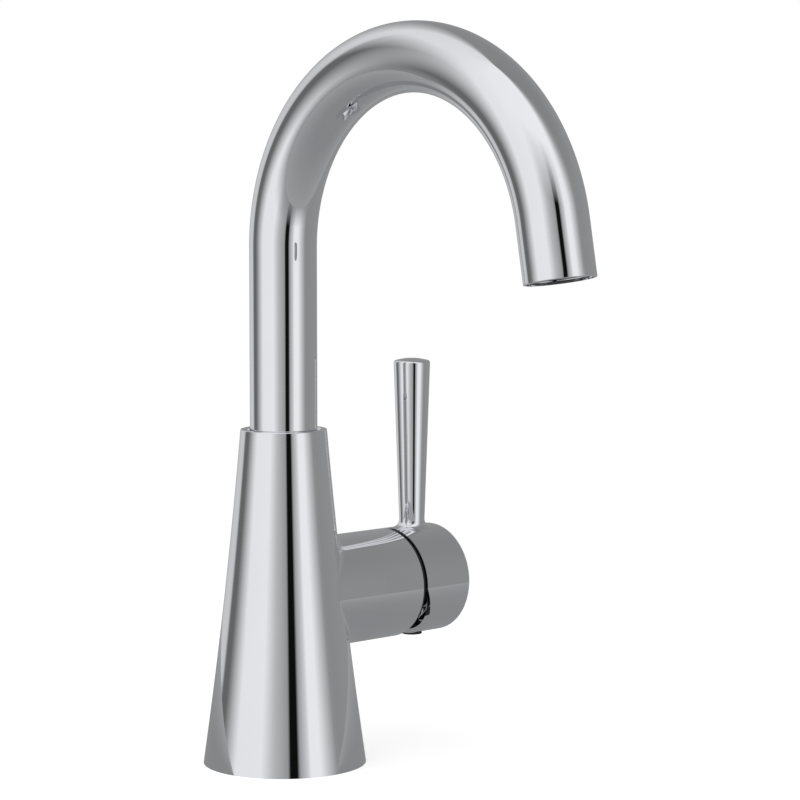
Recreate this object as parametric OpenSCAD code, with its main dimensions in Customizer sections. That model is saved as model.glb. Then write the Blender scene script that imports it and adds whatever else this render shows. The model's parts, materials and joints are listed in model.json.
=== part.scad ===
// Single-lever basin mixer: conical body, side valve barrel with an upright round lever,
// and a tall swivelling gooseneck spout. Millimetres, Z up, deck at Z = 0,
// spout towards -Y, valve and lever on the +X side.

/* [Body] */
// Radius of the conical body where it meets the deck
base_r = 30.9; // [26:0.1:38]
// Height of the conical body
body_h = 127.2; // [104:1:150]
// How far the side of the cone is hollowed below a straight line
side_sag = 0.9; // [0:0.1:2]
// Wall thickness of the body casting
shell_wall = 2.5; // [2:0.1:3.5]
// Wall left around the mouth where the spout goes in
rim_wall = 2.0; // [1.5:0.1:3]
// Open groove between the rim and the spout tube
rim_gap = 1.6; // [1:0.1:2.5]

/* [Side barrel] */
// Height of the valve axis above the deck
axis_z = 63; // [52:0.5:76]
// Outside radius of the horizontal barrel
barrel_r = 21.2; // [18:0.1:26]
// Distance from the body axis to the flat end of the barrel
barrel_end = 53.5; // [50:0.5:65]
// Wall thickness of the barrel
barrel_wall = 3.0; // [2:0.1:4]

/* [Handle] */
// Gap between the barrel end and the turning hub
hub_gap = 2.0; // [1.5:0.1:3]
// Length of the hub
hub_len = 23.6; // [20:0.2:30]
// Rounding of the outer edge of the hub
hub_edge = 1.5; // [0.5:0.1:3]
// Wall thickness of the hub
hub_wall = 1.8; // [1.5:0.1:2.5]
// Thickness of the closed end of the hub
hub_end_wall = 3.0; // [2:0.1:5]
// Distance from the tilt axis to the middle of the lever
lever_offset = 11.8; // [9:0.1:15]
// Height of the lever tip above the valve axis
lever_len = 87.4; // [70:0.2:110]
// Radius of the lever where it leaves the hub
lever_foot_r = 4.86; // [4:0.02:7]
// Radius of the lever at its tip
lever_tip_r = 7.15; // [5:0.05:9]
// Rounding of the tip edge
tip_edge = 1.0; // [0.5:0.1:2]
// Height of the shallow dome on the tip
tip_dome = 0.8; // [0.3:0.1:2]
// Radius of the plug over the set screw
plug_r = 4.0; // [3:0.1:5]
// How far the plug stands out of the hub
plug_proud = 0.65; // [0.2:0.05:1.5]

/* [Spout] */
// Outside radius of the spout tube
spout_r = 12.7; // [10.6:0.1:15.3]
// Wall thickness of the spout tube
spout_wall = 1.2; // [1:0.1:2]
// Radius of the gooseneck bend at the tube centre
bend_r = 69.5; // [58:0.5:84]
// Height of the start of the bend above the body rim
bend_rise = 68.3; // [50:0.5:90]
// Angle swept by the bend
bend_sweep = 169.7; // [150:0.1:180]
// Straight length after the bend
outlet_len = 20.5; // [17:0.5:30]

/* [Movement] */
// Greatest outward tilt of the lever in degrees
tilt_max = 20; // [15:1:22]
// Greatest swing of the spout to each side in degrees
swivel_max = 60; // [30:5:70]

/* [Cartridge] */
// Length of the cartridge housing inside the cup
cartridge_len = 23.2; // [22:0.2:28]
// Wall thickness of the brass cup around the cartridge
cup_wall = 2.6; // [2:0.1:4]
// Wall of the cup around the retaining nut
cup_lip = 1.4; // [1.2:0.1:2]
// Wall of the cartridge housing
housing_wall = 1.7; // [1.2:0.1:2.5]
// Thickness of the housing floor
housing_floor = 2.8; // [2:0.1:4]
// Thickness of the housing shoulder under the nut
shoulder = 2.0; // [1.5:0.1:3]
// Outside radius of the housing neck
neck_r = 11.4; // [10:0.1:13]
// Wall of the housing neck
neck_wall = 1.0; // [0.8:0.1:2]
// Thickness of each ceramic disc
disc_t = 4.0; // [3:0.1:5]
// Distance from the tilt axis to the ball on the stem
ball_arm = 11.1; // [9:0.1:13]
// Radius of the ball on the stem
ball_r = 3.2; // [2.5:0.1:4]
// Side of the square stem
stem_w = 6.0; // [5:0.1:8]
// Radius of the pin the stem tilts on
pin_r = 1.45; // [1:0.05:2]

/* [Deck fixing] */
// Thickness of the brass base plate
plate_h = 14; // [10:1:18]
// Radius of each hose socket, M10 fine thread
hose_r = 5.0; // [4:0.1:6]
// Depth of each hose socket
hose_depth = 9; // [6:0.5:10]
// Radius of the fixing stud hole, M8 thread
stud_r = 4.0; // [3:0.1:5]
// Depth of the fixing stud hole
stud_depth = 10; // [6:0.5:12]
// Distance from the body axis back to the stud
stud_x = 12; // [10:0.5:14]
// Forward offset of the inlet tubes from the body axis
inlet_x = 8; // [6:0.5:10]
// Half the distance between the inlet tubes
inlet_y = 7.5; // [7:0.1:9]
// Outside radius of an inlet tube
tube_r = 5.0; // [4:0.1:6]
// Bore radius of an inlet tube
tube_bore = 4.0; // [3:0.1:5]

/* [Fits] */
// Radial gap of a part pushed into a bore
fit = 0.05; // [0.02:0.01:0.1]
// Radial gap of a part that turns in a bore
turn_fit = 0.08; // [0.04:0.01:0.1]
// Gap between parts that must stay clear of each other
clear = 0.3; // [0.3:0.05:0.6]

/* [Hidden] */
$fn = 96;
seg = 14;
eps = 0.5;

// Body sizes that follow from the driving ones
top_r = spout_r + rim_gap + rim_wall;
rim_bore = spout_r + rim_gap - fit;
function body_r(z) = base_r + (top_r - base_r) * z / body_h - 4 * side_sag * (z / body_h) * (1 - z / body_h);
plate_r = body_r(plate_h) - shell_wall;
gasket_h = 1.6;
gasket_in = plate_r - 1.06;
gasket_out = base_r - 3.0;
screw_circle = plate_r - 5.46;
screw_angles = [80, 180, 280];
screw_r = 2.0;
screw_head_r = 3.6;
screw_head_h = 2.2;
screw_sink = 0.6;
boss_r = 4.2;
boss_h = 14;
screw_len = 11;

// Stations along the valve axis
pivot_x = barrel_end + hub_gap;
cup_end = barrel_end - 1.5;
cup_back = -6;
nut_len = 6;
shoulder_x = cup_end - nut_len;
housing_x = shoulder_x - cartridge_len;
seal_proud = 0.8;
seal_h = 1.6;
floor_x = housing_x - seal_proud;
chamber_x = housing_x + housing_floor;
chamber_end = shoulder_x - shoulder;
fixed_x = chamber_x;
moving_x = fixed_x + disc_t;
carrier_x = moving_x + disc_t;
guide_flange_t = 2.15;
guide_x = chamber_end - fit - guide_flange_t;
neck_end = pivot_x + 1.5;
guide_end = pivot_x + 2.7;
ball_x = pivot_x - ball_arm;

// Radii around the valve axis
barrel_bore = barrel_r - barrel_wall;
cup_r = barrel_bore - fit;
cup_bore = cup_r - cup_wall;
nut_bore = cup_r - cup_lip;
cartridge_r = cup_bore - fit;
chamber_r = cartridge_r - housing_wall;
neck_bore = neck_r - neck_wall;
guide_r = neck_bore - turn_fit;
nut_r = nut_bore - fit;
nut_hole = neck_r + 0.2;
slide = ball_arm * sin(tilt_max);
disc_drop = slide / 2;
fixed_disc_r = chamber_r - turn_fit;
moving_r = chamber_r - disc_drop - 0.4;
dome_R = barrel_bore - 0.1;
dome_wall = 1.2;
dome_end = pivot_x + 8.5;
glide_in = dome_R + 0.7;
glide_out = barrel_r - 0.8;
glide_t = hub_gap - 0.5;
hub_in = barrel_r - hub_wall;

// Water ways
port_r = moving_r * 0.226;
port_out_r = moving_r * 0.278;
port_y = moving_r * 0.652;
port_dz = moving_r * 0.391;
outlet_dz = -port_y;
seal_wall = 1.2;
cavity_r = moving_r * 0.626;
cavity_dz = -moving_r * 0.096;
cavity_t = 2.2;
way_r = 3.2;
tube_top = axis_z - 11;
tube_foot = hose_depth + 1.5;
inlet_seal_z = plate_h - 1.7;
inlet_seal_r = 0.7;
riser_hole_z = axis_z + 8.5;
seat_z = axis_z + 15.5;
outlet_x = -2;
outlet_way_r = 4.5;
back_r = 12.5;

// Spout seat, counted down from the rim
bush_z = body_h - 17;
bush_len = 10;
web_z = bush_z - 4;
riser_top = body_h - 22.2;
washer_t = 1.0;
flange_z = riser_top + washer_t;
flange_t = 3.0;
tube_z = flange_z + flange_t;
flange_r = spout_r + 0.3;
web_bore = flange_r + 0.4;
riser_r = spout_r + 0.5;
riser_bore = spout_r - 3.2;
shank_r = riser_bore - turn_fit;
shank_bore = riser_bore - 3;
spigot_r = spout_r - spout_wall - fit;
spigot_h = 8;
riser_step_z = axis_z + 19;
riser_step_r = 9.3;
riser_thread_r = 7.9;
riser_way = 5.5;
riser_floor = riser_top - 18.8;
shank_foot = riser_floor + 0.5;
ring_z = riser_floor + 2.2;
ring_t = 1.2;
ring_in = shank_r - 0.92;
ring_out = riser_bore + 0.4;
oring_r = 0.85;
oring_mid = riser_bore - fit - oring_r;
oring_groove = oring_mid - oring_r;
oring_zs = [riser_floor + 7.4, riser_floor + 13.2];
stop_circle = riser_bore + 1.7;
stop_r = 1.0;
stop_foot = riser_top - 5.5;
slot_depth = 2.2;
stop_top = flange_z + slot_depth - 0.4;
slot_half = swivel_max + asin((stop_r + 0.1) / stop_circle);
bend_z = body_h + bend_rise;
bend_end_y = -bend_r + bend_r * cos(bend_sweep);
bend_end_z = bend_z + bend_r * sin(bend_sweep);
outlet_tilt = bend_sweep - 180;
spout_in = spout_r - spout_wall;

// Aerator, counted up from the outlet
sleeve_z = 1.2;
sleeve_len = 12.8;
sleeve_wall = 1.25;
sleeve_r = spout_in - fit;
core_r = sleeve_r - sleeve_wall - fit;
core_z = sleeve_z + 0.8;
core_len = 8.6;
core_rim = 1.4;
grid_r = 0.85;
grid_step = 2.15;
regulator_len = 3.0;
regulator_r = core_r - 0.6;
regulator_z = core_z + core_len;
washer_len = 2.0;
washer_z = sleeve_z + sleeve_len;
washer_in = sleeve_r - 3.4;

// Handle details
lever_x = pivot_x + lever_offset;
lever_root = hub_in + 0.4;
hub_boss_r = 7.0;
hub_boss_x = pivot_x + 6.5;
socket_gap = 0.05;
socket_end = pivot_x + hub_len - hub_end_wall - 1.1;
relief_drop = 0.5;
relief_tilt = tilt_max + 0.5;
set_r = 2.5;
set_len = 4.2;
stem_neck_r = 1.9;
stem_start = ball_x + 4.1;
stem_end = socket_end - 0.5;
slot_w = stem_w / 2 + fit;
slot_low = 4.6;
slot_high = 7.0;
carrier_boss_r = ball_r + 1.4;
carrier_boss_end = ball_x + 1.6;
cradle_r = carrier_boss_r + clear;
cradle_side = cradle_r - 0.1;
cradle_end = carrier_boss_end + 0.5;
pin_half = guide_r - clear;

// Cylinder along X between two stations at the valve axis
module along_x(x0, x1, r, y = 0, dz = 0) {
  translate([x0, y, axis_z + dz])
    rotate([0, 90, 0])
      cylinder(h = x1 - x0, r = r);
}

// Upright cylinder between two heights
module upright(z0, z1, r, x = 0, y = 0) {
  translate([x, y, z0])
    cylinder(h = z1 - z0, r = r);
}

// Upright ring between two heights
module upright_ring(z0, z1, r_out, r_in, x = 0, y = 0) {
  difference() {
    upright(z0, z1, r_out, x, y);
    upright(z0 - eps, z1 + eps, r_in, x, y);
  }
}

// Ring along X between two stations
module ring_x(x0, x1, r_out, r_in, y = 0, dz = 0) {
  difference() {
    along_x(x0, x1, r_out, y, dz);
    along_x(x0 - eps, x1 + eps, r_in, y, dz);
  }
}

// Turned cone with the hollow side, grown inwards by a wall
module cone_form(z0, z1, wall) {
  rotate_extrude()
    polygon(concat(
      [[0, z0]],
      [for (i = [0:seg]) let (z = z0 + (z1 - z0) * i / seg) [body_r(z) - wall, z]],
      [[0, z1]]));
}

// Things placed in the frame of the outlet: origin in the opening, local Z back up the tube
module at_outlet() {
  translate([0, bend_end_y, bend_end_z])
    rotate([outlet_tilt, 0, 0])
      translate([0, 0, -outlet_len])
        children();
}

// The three openings of the valve, two inlets and one outlet, as cylinders along X
module ports(x0, x1, grow = 0) {
  along_x(x0, x1, port_r + grow, port_y, port_dz);
  along_x(x0, x1, port_r + grow, -port_y, port_dz);
  along_x(x0, x1, port_out_r + grow, 0, outlet_dz);
}

// Places its children at the three screws under the base
module at_screws() {
  for (a = screw_angles)
    rotate([0, 0, a])
      translate([screw_circle, 0, 0])
        children();
}

module body_shell() {
  color([0.80, 0.81, 0.83])
    difference() {
      union() {
        difference() {
          cone_form(0, body_h, 0);
          cone_form(plate_h, web_z, shell_wall);
        }
        at_screws()
          upright(plate_h, plate_h + boss_h, boss_r);
      }
      along_x(0, barrel_end + eps, barrel_bore);
      upright(-eps, plate_h, plate_r + fit);
      upright(-eps, gasket_h, gasket_out);
      upright(web_z - eps, bush_z + eps, web_bore);
      upright(bush_z, body_h + eps, rim_bore);
      at_screws()
        upright(0, plate_h + screw_len + eps, screw_r + fit);
    }
}

module barrel_shell() {
  color([0.80, 0.81, 0.83])
    difference() {
      ring_x(0, barrel_end, barrel_r, barrel_bore);
      cone_form(0, body_h, 0);
    }
}

module base_plate() {
  color([0.80, 0.62, 0.30])
    difference() {
      upright(0, plate_h, plate_r);
      difference() {
        upright(-eps, gasket_h, plate_r + eps);
        upright(-2 * eps, gasket_h + eps, gasket_in);
      }
      for (s = [-1, 1]) {
        upright(-eps, hose_depth, hose_r, inlet_x, s * inlet_y);
        upright(0, plate_h, way_r, inlet_x, s * inlet_y);
        upright(tube_foot, plate_h + eps, tube_r + fit, inlet_x, s * inlet_y);
        upright(inlet_seal_z - inlet_seal_r, inlet_seal_z + inlet_seal_r, tube_r + 2 * inlet_seal_r,
          inlet_x, s * inlet_y);
      }
      upright(-eps, stud_depth, stud_r, -stud_x, 0);
      at_screws() {
        upright(-eps, plate_h + eps, screw_r + 4 * fit);
        upright(-eps, screw_sink + screw_head_h, screw_head_r + 4 * fit);
      }
    }
}

module deck_gasket() {
  color([0.08, 0.08, 0.08])
    upright_ring(0, gasket_h, gasket_out, gasket_in);
}

module tie_screws() {
  color([0.70, 0.71, 0.72])
    at_screws()
      difference() {
        union() {
          upright(screw_sink, screw_sink + screw_head_h, screw_head_r);
          upright(screw_sink + screw_head_h - eps, plate_h + screw_len, screw_r);
        }
        upright(0, screw_sink + screw_head_h / 2, screw_r * 0.75, 0, 0);
      }
}

module inlet_tube(side) {
  color([0.80, 0.47, 0.30])
    upright_ring(tube_foot, tube_top, tube_r, tube_bore, inlet_x, side * inlet_y);
}

module inlet_tube_hot() {
  inlet_tube(-1);
}

module inlet_tube_cold() {
  inlet_tube(1);
}

module inlet_o_rings() {
  color([0.08, 0.08, 0.08])
    for (s = [-1, 1])
      translate([inlet_x, s * inlet_y, inlet_seal_z])
        rotate_extrude()
          translate([tube_r + inlet_seal_r, 0])
            circle(r = inlet_seal_r, $fn = 32);
}

module valve_body() {
  color([0.80, 0.62, 0.30])
    difference() {
      union() {
        along_x(cup_back, cup_end, cup_r);
        intersection() {
          along_x(-back_r - eps, 0, cup_r);
          upright(axis_z - cup_r, axis_z + cup_r, back_r);
        }
      }
      along_x(floor_x, cup_end + eps, cup_bore);
      along_x(shoulder_x, cup_end + eps, nut_bore);
      upright(seat_z, axis_z + cup_r + eps, back_r + eps);
      upright(riser_hole_z, seat_z + eps, riser_thread_r + fit);
      upright(axis_z + outlet_dz, riser_hole_z + eps, outlet_way_r, outlet_x, 0);
      along_x(outlet_x, floor_x + eps, port_out_r, 0, outlet_dz);
      for (s = [-1, 1]) {
        upright(axis_z - cup_r - eps, tube_top, tube_r + fit, inlet_x, s * inlet_y);
        upright(tube_top - eps, axis_z + port_dz, way_r, inlet_x, s * inlet_y);
        along_x(inlet_x, floor_x + eps, port_r, s * port_y, port_dz);
      }
    }
}

module spout_riser() {
  color([0.80, 0.62, 0.30])
    difference() {
      union() {
        upright(riser_hole_z, riser_step_z, riser_thread_r);
        upright(seat_z, riser_step_z + eps, riser_step_r);
        upright(riser_step_z, riser_top, riser_r);
      }
      upright(riser_hole_z - eps, riser_top, riser_way);
      upright(riser_floor, riser_top + eps, riser_bore);
      upright(ring_z - 0.4, ring_z + ring_t + 0.4, ring_out + clear);
      upright(stop_foot, riser_top + eps, stop_r + fit, 0, stop_circle);
    }
}

module port_seals() {
  color([0.08, 0.08, 0.08])
    difference() {
      ports(floor_x, floor_x + seal_h, seal_wall);
      ports(floor_x - eps, floor_x + seal_h + eps);
    }
}

module cartridge_housing() {
  color([0.92, 0.92, 0.88])
    difference() {
      union() {
        along_x(housing_x, shoulder_x, cartridge_r);
        along_x(shoulder_x - eps, neck_end, neck_r);
      }
      ports(housing_x - eps, floor_x + seal_h, seal_wall);
      ports(housing_x - eps, chamber_x + eps);
      along_x(chamber_x, chamber_end, chamber_r);
      along_x(chamber_end - eps, neck_end + eps, neck_bore);
    }
}

module fixed_disc() {
  color([0.95, 0.94, 0.90])
    difference() {
      along_x(fixed_x, fixed_x + disc_t, fixed_disc_r);
      ports(fixed_x - eps, fixed_x + disc_t + eps);
    }
}

module moving_disc() {
  color([0.90, 0.90, 0.86])
    difference() {
      along_x(moving_x, moving_x + disc_t, moving_r, 0, -disc_drop);
      along_x(moving_x - eps, moving_x + cavity_t, cavity_r, 0, -disc_drop + cavity_dz);
    }
}

module disc_carrier() {
  color([0.20, 0.35, 0.55])
    difference() {
      union() {
        along_x(carrier_x, guide_x - fit, moving_r, 0, -disc_drop);
        along_x(guide_x - eps, carrier_boss_end, carrier_boss_r);
      }
      along_x(ball_x - ball_r - clear, carrier_boss_end + eps, ball_r + fit);
    }
}

module stem_guide() {
  color([0.30, 0.30, 0.32])
    difference() {
      union() {
        along_x(guide_x, guide_x + guide_flange_t, chamber_r - clear);
        along_x(guide_x + eps, guide_end, guide_r);
      }
      along_x(guide_x - eps, cradle_end, cradle_r);
      along_x(guide_x - eps, cradle_end, cradle_r, 0, slide);
      translate([guide_x - eps, -cradle_side, axis_z])
        cube([cradle_end - guide_x + eps, 2 * cradle_side, slide]);
      translate([guide_x, -slot_w, axis_z - slot_low])
        cube([guide_end - guide_x + eps, 2 * slot_w, slot_low + slot_high]);
      translate([pivot_x, 0, axis_z])
        rotate([90, 0, 0])
          cylinder(h = 2 * neck_r, r = pin_r + fit, center = true);
    }
}

module pivot_pin() {
  color([0.70, 0.71, 0.72])
    translate([pivot_x, 0, axis_z])
      rotate([90, 0, 0])
        cylinder(h = 2 * pin_half, r = pin_r, center = true);
}

module stem() {
  color([0.74, 0.60, 0.34])
    difference() {
      union() {
        translate([ball_x, 0, axis_z])
          sphere(r = ball_r);
        along_x(ball_x, stem_start + eps, stem_neck_r);
        translate([stem_start, -stem_w / 2, axis_z - stem_w / 2])
          cube([stem_end - stem_start, stem_w, stem_w]);
      }
      translate([pivot_x, 0, axis_z])
        rotate([90, 0, 0])
          cylinder(h = 2 * neck_r, r = pin_r + fit, center = true);
    }
}

module retaining_nut() {
  notch_w = 3.0;
  notch_t = 1.6;
  color([0.76, 0.60, 0.32])
    difference() {
      ring_x(shoulder_x, cup_end, nut_r, nut_hole);
      for (a = [0:60:300])
        translate([cup_end - notch_t, 0, axis_z])
          rotate([a, 0, 0])
            translate([0, nut_hole + 1.2, -notch_w / 2])
              cube([notch_t + eps, nut_r - nut_hole - 2.4, notch_w]);
    }
}

module dome_cover() {
  color([0.78, 0.79, 0.81])
    difference() {
      intersection() {
        translate([pivot_x, 0, axis_z])
          sphere(r = dome_R);
        along_x(cup_end, dome_end, barrel_r);
      }
      translate([pivot_x, 0, axis_z])
        sphere(r = dome_R - dome_wall);
    }
}

module glide_ring() {
  color([0.05, 0.05, 0.05])
    ring_x(barrel_end, barrel_end + glide_t, glide_out, glide_in);
}

// Hub as a turned cup with a rounded outer edge
module hub_form() {
  translate([pivot_x, 0, axis_z])
    rotate([0, 90, 0])
      rotate_extrude()
        polygon(concat(
          [[0, 0], [barrel_r, 0]],
          [for (i = [0:6]) let (a = 90 * i / 6)
            [barrel_r - hub_edge + hub_edge * cos(a), hub_len - hub_edge + hub_edge * sin(a)]],
          [[0, hub_len]]));
}

// Round tapered lever with a rounded, slightly domed tip
module lever_form() {
  translate([lever_x, 0, axis_z])
    rotate_extrude()
      polygon(concat(
        [[0, lever_root], [lever_foot_r, lever_root]],
        [for (i = [0:5]) let (a = 75 * i / 5)
          [lever_tip_r - tip_edge + tip_edge * cos(a), lever_len - tip_dome - tip_edge + tip_edge * sin(a)]],
        [[lever_tip_r * 0.45, lever_len - tip_dome * 0.2], [0, lever_len]]));
}

module handle() {
  color([0.80, 0.81, 0.83])
    difference() {
      union() {
        difference() {
          union() {
            hub_form();
            lever_form();
          }
          along_x(pivot_x - eps, pivot_x + hub_len - hub_end_wall, hub_in);
        }
        along_x(hub_boss_x, pivot_x + hub_len - hub_end_wall + eps, hub_boss_r);
      }
      translate([hub_boss_x - eps, -stem_w / 2 - socket_gap, axis_z - stem_w / 2 - socket_gap])
        cube([socket_end - hub_boss_x + eps, stem_w + 2 * socket_gap, stem_w + 2 * socket_gap]);
      translate([pivot_x, 0, axis_z - relief_drop])
        rotate([0, -relief_tilt, 0])
          translate([-barrel_r, -2 * barrel_r, -2 * barrel_r])
            cube([barrel_r, 4 * barrel_r, 2 * barrel_r]);
      upright(axis_z - hub_boss_r - eps, axis_z, set_r + fit, lever_x, 0);
      upright(axis_z - barrel_r - eps, axis_z - hub_in + eps, plug_r + fit, lever_x, 0);
    }
}

module set_screw() {
  color([0.25, 0.25, 0.26])
    difference() {
      upright(axis_z - stem_w / 2 - set_len, axis_z - stem_w / 2, set_r, lever_x, 0);
      upright(axis_z - stem_w / 2 - set_len - eps, axis_z - stem_w / 2 - set_len / 2, set_r / 2, lever_x, 0);
    }
}

module screw_plug() {
  color([0.05, 0.05, 0.05])
    upright(axis_z - barrel_r - plug_proud, axis_z - hub_in - 0.1, plug_r, lever_x, 0);
}

module stop_pin() {
  color([0.70, 0.71, 0.72])
    upright(stop_foot, stop_top, stop_r, 0, stop_circle);
}

module thrust_washer() {
  color([0.93, 0.93, 0.90])
    difference() {
      upright_ring(riser_top, flange_z, flange_r, riser_bore + 0.1);
      upright(riser_top - eps, flange_z + eps, stop_r + fit, 0, stop_circle);
    }
}

module spout_bush() {
  color([0.05, 0.05, 0.05])
    upright_ring(bush_z, bush_z + bush_len, rim_bore - fit, spout_r + turn_fit);
}

module spout_upright() {
  color([0.80, 0.81, 0.83])
    upright_ring(tube_z, bend_z, spout_r, spout_in);
}

module spout_bend() {
  run_on = 2;
  color([0.80, 0.81, 0.83])
    translate([0, -bend_r, bend_z])
      rotate([90, 0, 90])
        difference() {
          rotate_extrude(angle = bend_sweep)
            translate([bend_r, 0])
              circle(r = spout_r);
          rotate([0, 0, -run_on])
            rotate_extrude(angle = bend_sweep + 2 * run_on)
              translate([bend_r, 0])
                circle(r = spout_in);
        }
}

module spout_end() {
  color([0.80, 0.81, 0.83])
    at_outlet()
      upright_ring(0, outlet_len, spout_r, spout_in);
}

module spout_shank() {
  color([0.80, 0.62, 0.30])
    difference() {
      union() {
        upright(shank_foot, flange_z + eps, shank_r);
        upright(flange_z, tube_z, flange_r);
        upright(tube_z - eps, tube_z + spigot_h, spigot_r);
      }
      upright(shank_foot - eps, tube_z + spigot_h + eps, shank_bore);
      upright_ring(ring_z - 0.1, ring_z + ring_t + 0.1, shank_r + eps, ring_in - 0.1);
      for (z = oring_zs)
        upright_ring(z - oring_r - 0.1, z + oring_r + 0.1, shank_r + eps, oring_groove);
      rotate([0, 0, 90 - slot_half])
        rotate_extrude(angle = 2 * slot_half)
          translate([stop_circle - stop_r - clear, flange_z - eps])
            square([2 * (stop_r + clear), slot_depth + eps]);
    }
}

module shank_o_rings() {
  color([0.08, 0.08, 0.08])
    for (z = oring_zs)
      translate([0, 0, z])
        rotate_extrude()
          translate([oring_mid, 0])
            circle(r = oring_r, $fn = 32);
}

module snap_ring() {
  gap_w = 3;
  color([0.70, 0.71, 0.72])
    difference() {
      upright_ring(ring_z, ring_z + ring_t, ring_out, ring_in);
      translate([-gap_w / 2, 0, ring_z - eps])
        cube([gap_w, 2 * ring_out, ring_t + 2 * eps]);
    }
}

module aerator_sleeve() {
  color([0.55, 0.56, 0.58])
    at_outlet()
      upright_ring(sleeve_z, sleeve_z + sleeve_len, sleeve_r, sleeve_r - sleeve_wall);
}

module aerator_core() {
  color([0.16, 0.16, 0.17])
    at_outlet()
      difference() {
        upright(core_z, core_z + core_len, core_r);
        upright(core_z + core_rim, core_z + core_len + eps, core_r - core_rim);
        for (i = [-3:3])
          for (j = [-3:3])
            if (norm([i + j / 2, j * sqrt(3) / 2]) * grid_step < core_r - core_rim - grid_r)
              upright(core_z - eps, core_z + core_rim + eps, grid_r,
                (i + j / 2) * grid_step, j * sqrt(3) / 2 * grid_step);
      }
}

module flow_regulator() {
  hole_r = 1.1;
  hole_circle = 5;
  color([0.60, 0.16, 0.16])
    at_outlet()
      difference() {
        upright(regulator_z, regulator_z + regulator_len, regulator_r);
        for (a = [0:60:300])
          upright(regulator_z - eps, regulator_z + regulator_len + eps, hole_r,
            hole_circle * cos(a), hole_circle * sin(a));
      }
}

module aerator_washer() {
  color([0.08, 0.08, 0.08])
    at_outlet()
      upright_ring(washer_z, washer_z + washer_len, sleeve_r, washer_in);
}

body_shell();
barrel_shell();
base_plate();
deck_gasket();
tie_screws();
inlet_tube_hot();
inlet_tube_cold();
inlet_o_rings();
valve_body();
spout_riser();
port_seals();
cartridge_housing();
fixed_disc();
moving_disc();
disc_carrier();
stem_guide();
pivot_pin();
stem();
retaining_nut();
dome_cover();
glide_ring();
handle();
set_screw();
screw_plug();
stop_pin();
thrust_washer();
spout_bush();
spout_upright();
spout_bend();
spout_end();
spout_shank();
shank_o_rings();
snap_ring();
aerator_sleeve();
aerator_core();
flow_regulator();
aerator_washer();
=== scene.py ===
import json
import math

import bmesh
import bpy
from mathutils import Matrix, Vector


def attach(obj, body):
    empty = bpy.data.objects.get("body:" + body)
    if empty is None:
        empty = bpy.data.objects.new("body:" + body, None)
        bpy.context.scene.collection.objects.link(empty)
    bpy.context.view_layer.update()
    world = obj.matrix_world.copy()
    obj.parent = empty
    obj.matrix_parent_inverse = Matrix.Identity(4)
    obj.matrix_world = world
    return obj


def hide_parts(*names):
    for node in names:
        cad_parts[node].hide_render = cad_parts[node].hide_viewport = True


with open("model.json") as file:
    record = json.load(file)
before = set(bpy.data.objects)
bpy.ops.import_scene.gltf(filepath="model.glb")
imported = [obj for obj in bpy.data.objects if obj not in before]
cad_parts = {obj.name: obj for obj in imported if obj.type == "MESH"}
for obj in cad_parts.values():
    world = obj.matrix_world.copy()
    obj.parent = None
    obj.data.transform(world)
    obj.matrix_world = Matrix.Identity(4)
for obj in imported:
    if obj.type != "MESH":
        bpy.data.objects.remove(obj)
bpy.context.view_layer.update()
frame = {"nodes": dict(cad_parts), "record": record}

# Body sizes shared with the solids, in metres
BASE_R = 0.0309
TOP_R = 0.0163
BODY_H = 0.1272
SIDE_SAG = 0.0009
WALL = 0.0025
PLATE_H = 0.014
PLATE_FIT = 0.00005
GASKET_H = 0.0016
GASKET_R = 0.0279
BUSH_Z = 0.1102
WEB_Z = 0.1062
RIM_BORE = 0.01425
WEB_BORE = 0.0134
AXIS_Z = 0.063
BARREL_R = 0.0212
BARREL_BORE = 0.0182
BARREL_END = 0.0535

# Spout and lever sizes shared with the solids
SPOUT_R = 0.0127
SPOUT_IN = 0.0115
TUBE_Z = 0.1090
BEND_R = 0.0695
BEND_Z = 0.1955
SWEEP = math.radians(169.7)
END_RUN = 0.0205
LEVER_X = 0.0673
LEVER_FOOT_R = 0.00486

# Round corners that only the visual model has
BLEND = 0.0042
FOOT_BLEND = 0.003
EDGE = 0.0003


# Node helpers
def noise(tree, scale, stretch=(1, 1, 1)):
    """Noise in object space, stretched along the axes."""
    coord = tree.nodes.new("ShaderNodeTexCoord")
    mapping = tree.nodes.new("ShaderNodeMapping")
    mapping.inputs["Scale"].default_value = stretch
    tex = tree.nodes.new("ShaderNodeTexNoise")
    tex.inputs["Scale"].default_value = scale
    tex.inputs["Detail"].default_value = 3.0
    tree.links.new(coord.outputs["Object"], mapping.inputs["Vector"])
    tree.links.new(mapping.outputs["Vector"], tex.inputs["Vector"])
    return tex.outputs["Fac"]


def map_range(tree, value, start, end, low=0.0, high=1.0):
    """A value between start and end, moved to between low and high."""
    node = tree.nodes.new("ShaderNodeMapRange")
    node.inputs["From Min"].default_value = start
    node.inputs["From Max"].default_value = end
    node.inputs["To Min"].default_value = low
    node.inputs["To Max"].default_value = high
    tree.links.new(value, node.inputs["Value"])
    return node.outputs["Result"]


def blend_colours(tree, fac, first, second):
    """Two colours mixed by a value; each is a tuple of three numbers or another node's output."""
    node = tree.nodes.new("ShaderNodeMix")
    node.data_type = "RGBA"
    for name, colour in (("A", first), ("B", second)):
        if isinstance(colour, tuple):
            node.inputs[name].default_value = (*colour, 1)
        else:
            tree.links.new(colour, node.inputs[name])
    tree.links.new(fac, node.inputs["Factor"])
    return node.outputs["Result"]


def pick_shader(tree, fac, first, second):
    """The first shader where the value is 0 and the second where it is 1."""
    node = tree.nodes.new("ShaderNodeMixShader")
    tree.links.new(fac, node.inputs["Fac"])
    tree.links.new(first, node.inputs[1])
    tree.links.new(second, node.inputs[2])
    return node.outputs["Shader"]


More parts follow.
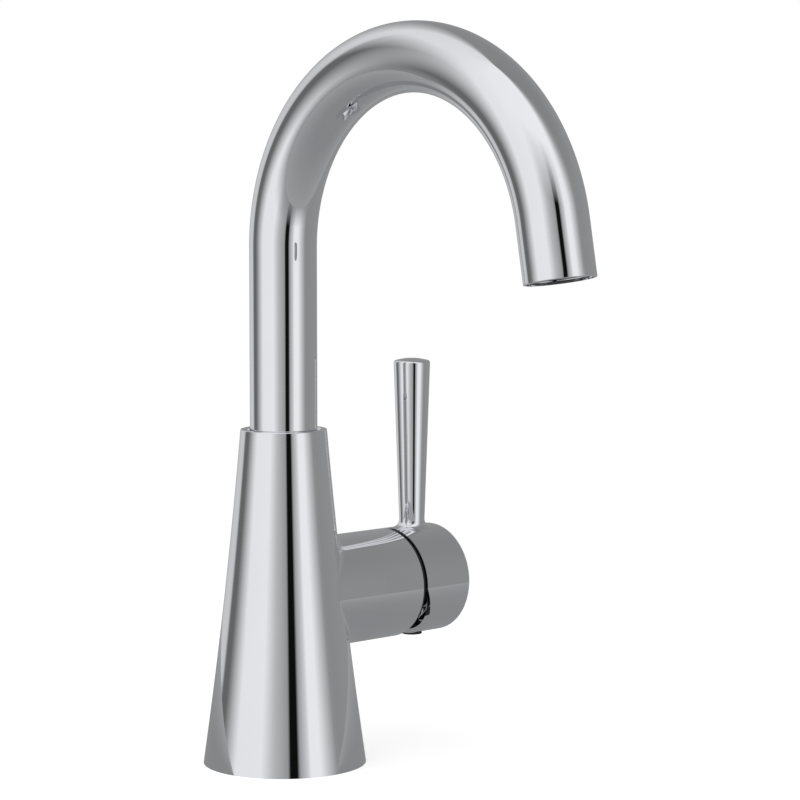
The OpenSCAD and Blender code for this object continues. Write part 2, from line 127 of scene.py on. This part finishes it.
def grey_ramp(tree, source, bands):
    """A ramp of greys over the compass directions, in degrees from the user's side."""
    ramp = tree.nodes.new("ShaderNodeValToRGB")
    tree.links.new(source, ramp.inputs["Fac"])
    points = ramp.color_ramp.elements
    while len(points) < len(bands):
        points.new(0.5)
    for point, (degrees, value) in zip(points, bands):
        point.position = (degrees + 180) / 360
        point.color = (value, value, value * COOL, 1)
    return ramp.outputs["Color"]


# Materials
NOISE_LOW = 0.3
NOISE_HIGH = 0.7
RELIEF_FINENESS = 3
RELIEF_DEPTH = 0.0001


def new_material(name):
    """An empty node material with its principled shader."""
    mat = bpy.data.materials.new(name)
    mat.use_nodes = True
    return mat, mat.node_tree, mat.node_tree.nodes["Principled BSDF"]


def surface(name, first, second, rough, scale, metal=0.0, relief=0.0, stretch=(1, 1, 1)):
    """A material with a mottled colour, a varying roughness and a fine relief."""
    mat, tree, shader = new_material(name)
    fac = noise(tree, scale, stretch)
    tree.links.new(blend_colours(tree, fac, first, second), shader.inputs["Base Color"])
    tree.links.new(map_range(tree, fac, NOISE_LOW, NOISE_HIGH, *rough), shader.inputs["Roughness"])
    shader.inputs["Metallic"].default_value = metal
    if relief:
        bump = tree.nodes.new("ShaderNodeBump")
        bump.inputs["Strength"].default_value = relief
        bump.inputs["Distance"].default_value = RELIEF_DEPTH
        tree.links.new(noise(tree, scale * RELIEF_FINENESS, stretch), bump.inputs["Height"])
        tree.links.new(bump.outputs["Normal"], shader.inputs["Normal"])
    return mat


CHROME = surface("chrome", (0.80, 0.815, 0.84), (0.85, 0.86, 0.875), (0.018, 0.04), 35, metal=1.0)
BRASS = surface("brass", (0.62, 0.42, 0.15), (0.78, 0.57, 0.24), (0.22, 0.38), 60,
                metal=1.0, relief=0.15, stretch=(1, 1, 12))
COPPER = surface("copper", (0.60, 0.26, 0.13), (0.80, 0.42, 0.25), (0.2, 0.4), 80,
                 metal=1.0, relief=0.1, stretch=(1, 1, 0.2))
STEEL = surface("steel", (0.45, 0.46, 0.47), (0.62, 0.63, 0.64), (0.25, 0.42), 120,
                metal=1.0, relief=0.15, stretch=(1, 1, 10))
RUBBER = surface("rubber", (0.012, 0.012, 0.012), (0.03, 0.03, 0.03), (0.6, 0.8), 300, relief=0.3)
CERAMIC = surface("ceramic", (0.82, 0.80, 0.75), (0.9, 0.89, 0.85), (0.08, 0.2), 200, relief=0.05)
WHITE_PLASTIC = surface("white_plastic", (0.75, 0.75, 0.71), (0.84, 0.84, 0.80), (0.35, 0.5), 150,
                        relief=0.15)
GREY_PLASTIC = surface("grey_plastic", (0.02, 0.02, 0.022), (0.05, 0.05, 0.055), (0.35, 0.55), 180,
                       relief=0.2)
BLUE_PLASTIC = surface("blue_plastic", (0.04, 0.11, 0.27), (0.08, 0.17, 0.36), (0.35, 0.5), 150,
                       relief=0.15)
RED_PLASTIC = surface("red_plastic", (0.30, 0.03, 0.03), (0.42, 0.06, 0.06), (0.35, 0.5), 150,
                      relief=0.15)
BLACK_PLASTIC = surface("black_plastic", (0.008, 0.008, 0.009), (0.02, 0.02, 0.022), (0.4, 0.6), 220,
                        relief=0.2)
BY_SLOT = {
    "chrome": CHROME, "brass": BRASS, "copper": COPPER, "steel": STEEL, "rubber": RUBBER,
    "ceramic": CERAMIC, "white_plastic": WHITE_PLASTIC, "grey_plastic": GREY_PLASTIC,
    "blue_plastic": BLUE_PLASTIC, "red_plastic": RED_PLASTIC, "black_plastic": BLACK_PLASTIC,
}
for part in frame["record"]["subparts"]:
    obj = frame["nodes"][part["node"]]
    obj.data.materials.clear()
    obj.data.materials.append(BY_SLOT[part["material_slot"]])

# Mesh helpers
TURNS = 256


def angles_of(count):
    """Evenly spaced angles once around."""
    return [2 * math.pi * i / count for i in range(count)]


def grid_mesh(shape, rows, closed):
    """Adds a strip of quads over rows of points; closed joins each row's ends."""
    made = [[shape.verts.new(p) for p in row] for row in rows]
    count = len(rows[0])
    for lower, upper in zip(made, made[1:]):
        for i in range(count if closed else count - 1):
            k = (i + 1) % count
            shape.faces.new((lower[i], lower[k], upper[k], upper[i]))


def turned(shape, profile, place):
    """Revolves a list of (radius, height) points; place maps radius, angle and height to a point."""
    grid_mesh(shape, [[place(r, a, h) for a in angles_of(TURNS)] for r, h in profile], True)


def upright(r, a, h):
    """A point on a ring around the body axis."""
    return Vector((r * math.cos(a), r * math.sin(a), h))


def sideways(r, a, h):
    """A point on a ring around the valve axis."""
    return Vector((h, r * math.cos(a), AXIS_Z + r * math.sin(a)))


def corner(r, h, size, start, steps=4):
    """Points of a quarter round about a centre, from a start angle in degrees."""
    angles = [math.radians(start + 90 * i / steps) for i in range(steps + 1)]
    return [(r + size * math.cos(a), h + size * math.sin(a)) for a in angles]


def rolled(centre, size, first, second, steps):
    """Points where a ball touches as it turns from one direction to another."""
    return [centre + size * first.slerp(second, k / steps, second) for k in range(steps + 1)]


def new_object(name, shape):
    """Turns the built shape into a smooth chrome object."""
    bmesh.ops.recalc_face_normals(shape, faces=shape.faces)
    mesh = bpy.data.meshes.new(name)
    shape.to_mesh(mesh)
    shape.free()
    mesh.polygons.foreach_set("use_smooth", [True] * len(mesh.polygons))
    mesh.materials.append(CHROME)
    obj = bpy.data.objects.new(name, mesh)
    bpy.context.scene.collection.objects.link(obj)
    return obj


# Body casting: cone and barrel with a round corner between them
SIDE_STEPS = 96
INNER_STEPS = 24
BARREL_START = 0.006
BARREL_MID = 0.03
BORE_FOOT = 0.02
BLEND_TURNS = 288
BLEND_STEPS = 10
SEARCH_REACH = 0.05
HALVINGS = 50
TINY = 1e-6


def body_r(z):
    """Radius of the conical body at a height."""
    t = z / BODY_H
    return BASE_R + (TOP_R - BASE_R) * t - 4 * SIDE_SAG * t * (1 - t)


def cone_offset(x, y, z):
    """Distance of a point from the cone's side, about square to it, and the outward normal."""
    t = z / BODY_H
    slope = (TOP_R - BASE_R) / BODY_H - 4 * SIDE_SAG * (1 - 2 * t) / BODY_H
    r = math.hypot(x, y)
    normal = Vector((x / r, y / r, -slope)).normalized()
    return (r - body_r(z)) / math.hypot(1, slope), normal


def blend_rows():
    """Rows of the round corner that a ball would roll between the barrel and the cone."""
    rows = []
    for i in range(BLEND_TURNS + 1):
        a = 2 * math.pi * i / BLEND_TURNS
        y = (BARREL_R + BLEND) * math.cos(a)
        z = AXIS_Z + (BARREL_R + BLEND) * math.sin(a)
        near, far = 0.0, SEARCH_REACH
        for _ in range(HALVINGS):
            middle = (near + far) / 2
            if cone_offset(max(middle, TINY), y, z)[0] < BLEND:
                near = middle
            else:
                far = middle
        to_cone = -cone_offset(far, y, z)[1]
        to_barrel = Vector((0, -math.cos(a), -math.sin(a)))
        rows.append(rolled(Vector((far, y, z)), BLEND, to_cone, to_barrel, BLEND_STEPS))
    return rows


def build_body():
    """The cone and barrel as one smooth casting."""
    plate_r = body_r(PLATE_H) - WALL + PLATE_FIT
    lip = corner(body_r(BODY_H) - EDGE, BODY_H - EDGE, EDGE, 0)
    mouth = corner(RIM_BORE + EDGE, BODY_H - EDGE, EDGE, 90)
    side_heights = [BODY_H * i / SIDE_STEPS for i in range(SIDE_STEPS)]
    inner_heights = [WEB_Z - (WEB_Z - PLATE_H) * i / INNER_STEPS for i in range(INNER_STEPS + 1)]
    cone_strips = [
        [(body_r(z), z) for z in side_heights] + lip,
        [lip[-1], mouth[0]],
        mouth + [(RIM_BORE, BUSH_Z)],
        [(RIM_BORE, BUSH_Z), (WEB_BORE, BUSH_Z)],
        [(WEB_BORE, BUSH_Z), (WEB_BORE, WEB_Z)],
        [(WEB_BORE, WEB_Z), (body_r(WEB_Z) - WALL, WEB_Z)],
        [(body_r(z) - WALL, z) for z in inner_heights],
        [(plate_r, PLATE_H), (plate_r, GASKET_H)],
        [(plate_r, GASKET_H), (GASKET_R, GASKET_H)],
        [(GASKET_R, GASKET_H), (GASKET_R, 0)],
        [(GASKET_R, 0), (BASE_R, 0)],
    ]
    end = corner(BARREL_R - EDGE, BARREL_END - EDGE, EDGE, 0)
    barrel_strips = [
        [(BARREL_R, BARREL_START), (BARREL_R, BARREL_MID)] + end,
        [end[-1], (BARREL_BORE, BARREL_END)],
        [(BARREL_BORE, BARREL_END), (BARREL_BORE, BORE_FOOT)],
    ]
    shape = bmesh.new()
    for strip in cone_strips:
        turned(shape, strip, upright)
    for strip in barrel_strips:
        turned(shape, strip, sideways)
    grid_mesh(shape, blend_rows(), False)
    body = new_object("body_casting", shape)
    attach(body, "body")
    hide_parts("body_shell", "barrel_shell")


# Spout: one bent tube
RING_POINTS = 192
UPRIGHT_STEPS = 12
BEND_STEPS = 120
END_STEPS = 6


def spout_path():
    """Centre points and directions along the gooseneck."""
    rise = BEND_Z - TUBE_Z
    up = Vector((0, 0, 1))
    places = [(Vector((0, 0, TUBE_Z + rise * i / UPRIGHT_STEPS)), up) for i in range(UPRIGHT_STEPS)]
    for i in range(BEND_STEPS + 1):
        a = SWEEP * i / BEND_STEPS
        centre = Vector((0, -BEND_R + BEND_R * math.cos(a), BEND_Z + BEND_R * math.sin(a)))
        places.append((centre, Vector((0, -math.sin(a), math.cos(a)))))
    last, way = places[-1]
    places += [(last + way * END_RUN * i / END_STEPS, way) for i in range(1, END_STEPS + 1)]
    return places


def ring(centre, along, r):
    """Points of a ring across the tube."""
    across = Vector((1, 0, 0))
    other = along.cross(across)
    return [centre + r * (math.cos(a) * across + math.sin(a) * other) for a in angles_of(RING_POINTS)]


def build_spout():
    """One smooth bent tube with a rounded lip."""
    shape = bmesh.new()
    path = spout_path()
    mouth, way = path[-1]
    lip = [ring(mouth + way * (h - EDGE), way, r) for r, h in corner(SPOUT_R - EDGE, 0, EDGE, 0)]
    grid_mesh(shape, [ring(c, w, SPOUT_R) for c, w in path[:-1]] + lip, True)
    grid_mesh(shape, [ring(mouth, way, SPOUT_R - EDGE), ring(mouth, way, SPOUT_IN)], True)
    grid_mesh(shape, [ring(c, w, SPOUT_IN) for c, w in reversed(path)], True)
    start, up = path[0]
    grid_mesh(shape, [ring(start, up, SPOUT_IN), ring(start, up, SPOUT_R)], True)
    spout = new_object("spout_tube", shape)
    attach(spout, "spout")
    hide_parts("spout_upright", "spout_bend", "spout_end")


# Lever foot: a round corner over the hub
FOOT_TURNS = 128
FOOT_STEPS = 8
FOOT_TAPER = 0.00015


def build_lever_foot():
    """The small round corner where the lever grows out of the hub."""
    rows = []
    reach = LEVER_FOOT_R + FOOT_TAPER + FOOT_BLEND
    for i in range(FOOT_TURNS + 1):
        a = 2 * math.pi * i / FOOT_TURNS
        y = reach * math.sin(a)
        z = AXIS_Z + math.sqrt((BARREL_R + FOOT_BLEND) ** 2 - y * y)
        to_lever = Vector((-math.cos(a), -math.sin(a), 0))
        to_hub = Vector((0, -y, AXIS_Z - z)).normalized()
        centre = Vector((LEVER_X + reach * math.cos(a), y, z))
        rows.append(rolled(centre, FOOT_BLEND, to_hub, to_lever, FOOT_STEPS))
    shape = bmesh.new()
    grid_mesh(shape, rows, False)
    foot = new_object("lever_foot", shape)
    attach(foot, "handle")


build_body()
build_spout()
build_lever_foot()

# Room that the chrome mirrors: greys by compass direction, in degrees from the user's side
BANDS = [
    (-180, 0.66), (-167, 0.62), (-160, 0.15), (-147, 0.15), (-139, 0.30), (-115, 0.90), (-76, 0.92),
    (-57, 0.54), (-37, 0.34), (-34, 0.005), (-23.5, 0.005), (-20, 0.36), (-9, 0.68), (-4, 0.95), (10, 0.95),
    (24, 0.60), (38, 0.31), (47, 0.29), (88, 0.31), (139, 0.31), (165, 0.60), (180, 0.66),
]
OVERHEAD = [
    (-180, 0.80), (-125, 0.85), (-95, 0.95), (5, 0.98), (28, 0.38), (42, 0.27), (60, 0.26), (140, 0.28),
    (180, 0.80),
]
COOL = 1.01
OVERHEAD_FROM = 0.35
OVERHEAD_FULL = 0.75
GROUND_FROM = -0.26
GROUND_FULL = -0.5
GROUND_COLOUR = (0.30, 0.30, 0.305)
WHITE = (1, 1, 1, 1)


def build_world():
    """Paints the room on the world: bands around, lighter overhead, and plain white to the camera."""
    world = bpy.data.worlds.new("room")
    bpy.context.scene.world = world
    world.use_nodes = True
    tree = world.node_tree
    tree.nodes.clear()
    coord = tree.nodes.new("ShaderNodeTexCoord")
    split = tree.nodes.new("ShaderNodeSeparateXYZ")
    tree.links.new(coord.outputs["Generated"], split.inputs["Vector"])
    front = tree.nodes.new("ShaderNodeMath")
    front.operation = "MULTIPLY"
    front.inputs[1].default_value = -1
    tree.links.new(split.outputs["Y"], front.inputs[0])
    turn = tree.nodes.new("ShaderNodeMath")
    turn.operation = "ARCTAN2"
    tree.links.new(split.outputs["X"], turn.inputs[0])
    tree.links.new(front.outputs["Value"], turn.inputs[1])
    compass = map_range(tree, turn.outputs["Value"], -math.pi, math.pi)
    high = map_range(tree, split.outputs["Z"], OVERHEAD_FROM, OVERHEAD_FULL)
    low = map_range(tree, split.outputs["Z"], GROUND_FROM, GROUND_FULL)
    sky = blend_colours(tree, high, grey_ramp(tree, compass, BANDS), grey_ramp(tree, compass, OVERHEAD))
    room = tree.nodes.new("ShaderNodeBackground")
    tree.links.new(blend_colours(tree, low, sky, GROUND_COLOUR), room.inputs["Color"])
    plain = tree.nodes.new("ShaderNodeBackground")
    plain.inputs["Color"].default_value = WHITE
    rays = tree.nodes.new("ShaderNodeLightPath")
    seen = tree.nodes.new("ShaderNodeMath")
    seen.operation = "MAXIMUM"
    tree.links.new(rays.outputs["Is Camera Ray"], seen.inputs[0])
    tree.links.new(rays.outputs["Is Transmission Ray"], seen.inputs[1])
    shown = pick_shader(tree, seen.outputs["Value"], room.outputs["Background"], plain.outputs["Background"])
    out = tree.nodes.new("ShaderNodeOutputWorld")
    tree.links.new(shown, out.inputs["Surface"])


# Floor: white to the camera with a soft contact shadow; grey to the chrome, with painted shade that makes
# that grey darker near the middle
FLOOR_R = 0.42
FLOOR_SIDES = 96
FLOOR_GLOW = 0.6
FLOOR_NEAR = 0.12
# Painted shade: the grey that the chrome mirrors is darker near the middle, under the tap
SHADED_NEAR_TONE = (0.28, 0.28, 0.285)
FAR_TONE = (0.38, 0.38, 0.385)


def build_floor():
    """A pale floor that stays white in the picture apart from its shadow, with painted shade in the grey
    that the chrome mirrors.
    """
    mesh = bpy.data.meshes.new("floor")
    shape = bmesh.new()
    bmesh.ops.create_circle(shape, cap_ends=True, segments=FLOOR_SIDES, radius=FLOOR_R)
    shape.to_mesh(mesh)
    shape.free()
    floor = bpy.data.objects.new("floor", mesh)
    bpy.context.scene.collection.objects.link(floor)
    mat, tree, shader = new_material("floor")
    base = blend_colours(tree, noise(tree, 4), (0.80, 0.80, 0.80), (0.84, 0.84, 0.84))
    tree.links.new(base, shader.inputs["Base Color"])
    shader.inputs["Roughness"].default_value = 0.9
    shader.inputs["Specular IOR Level"].default_value = 0.1
    glow = tree.nodes.new("ShaderNodeEmission")
    glow.inputs["Strength"].default_value = FLOOR_GLOW
    both = tree.nodes.new("ShaderNodeAddShader")
    tree.links.new(shader.outputs["BSDF"], both.inputs[0])
    tree.links.new(glow.outputs["Emission"], both.inputs[1])
    place = tree.nodes.new("ShaderNodeTexCoord")
    reach = tree.nodes.new("ShaderNodeVectorMath")
    reach.operation = "LENGTH"
    tree.links.new(place.outputs["Object"], reach.inputs[0])
    # Painted shade: the mirrored grey gets darker towards the middle, where the tap's shadow would fall
    shade_fade = map_range(tree, reach.outputs["Value"], FLOOR_NEAR, FLOOR_R)
    mirrored = tree.nodes.new("ShaderNodeEmission")
    tree.links.new(blend_colours(tree, shade_fade, SHADED_NEAR_TONE, FAR_TONE), mirrored.inputs["Color"])
    rays = tree.nodes.new("ShaderNodeLightPath")
    direct = pick_shader(tree, rays.outputs["Is Camera Ray"], shader.outputs["BSDF"], both.outputs["Shader"])
    shown = pick_shader(tree, rays.outputs["Is Glossy Ray"], direct, mirrored.outputs["Emission"])
    tree.links.new(shown, tree.nodes["Material Output"].inputs["Surface"])
    floor.data.materials.append(mat)


build_world()
build_floor()

# Camera at the photo's view
CAMERA_PLACE = (-0.6992, -0.7899, 0.2344)
RIGHT = Vector((0.72060, -0.69335, 0.0))
FORWARD = Vector((0.69047, 0.71761, -0.09101))
UP = RIGHT.cross(FORWARD)
LENS_MM = 126.5
SENSOR_MM = 36

camera = bpy.data.objects.new("camera", bpy.data.cameras.new("camera"))
bpy.context.scene.collection.objects.link(camera)
facing = Matrix((RIGHT, UP, -FORWARD)).transposed()
camera.matrix_world = Matrix.Translation(CAMERA_PLACE) @ facing.to_4x4()
camera.data.sensor_width = SENSOR_MM
camera.data.lens = LENS_MM
camera.data.clip_start = 0.01
bpy.context.scene.camera = camera
bpy.context.scene.view_settings.view_transform = "Standard"
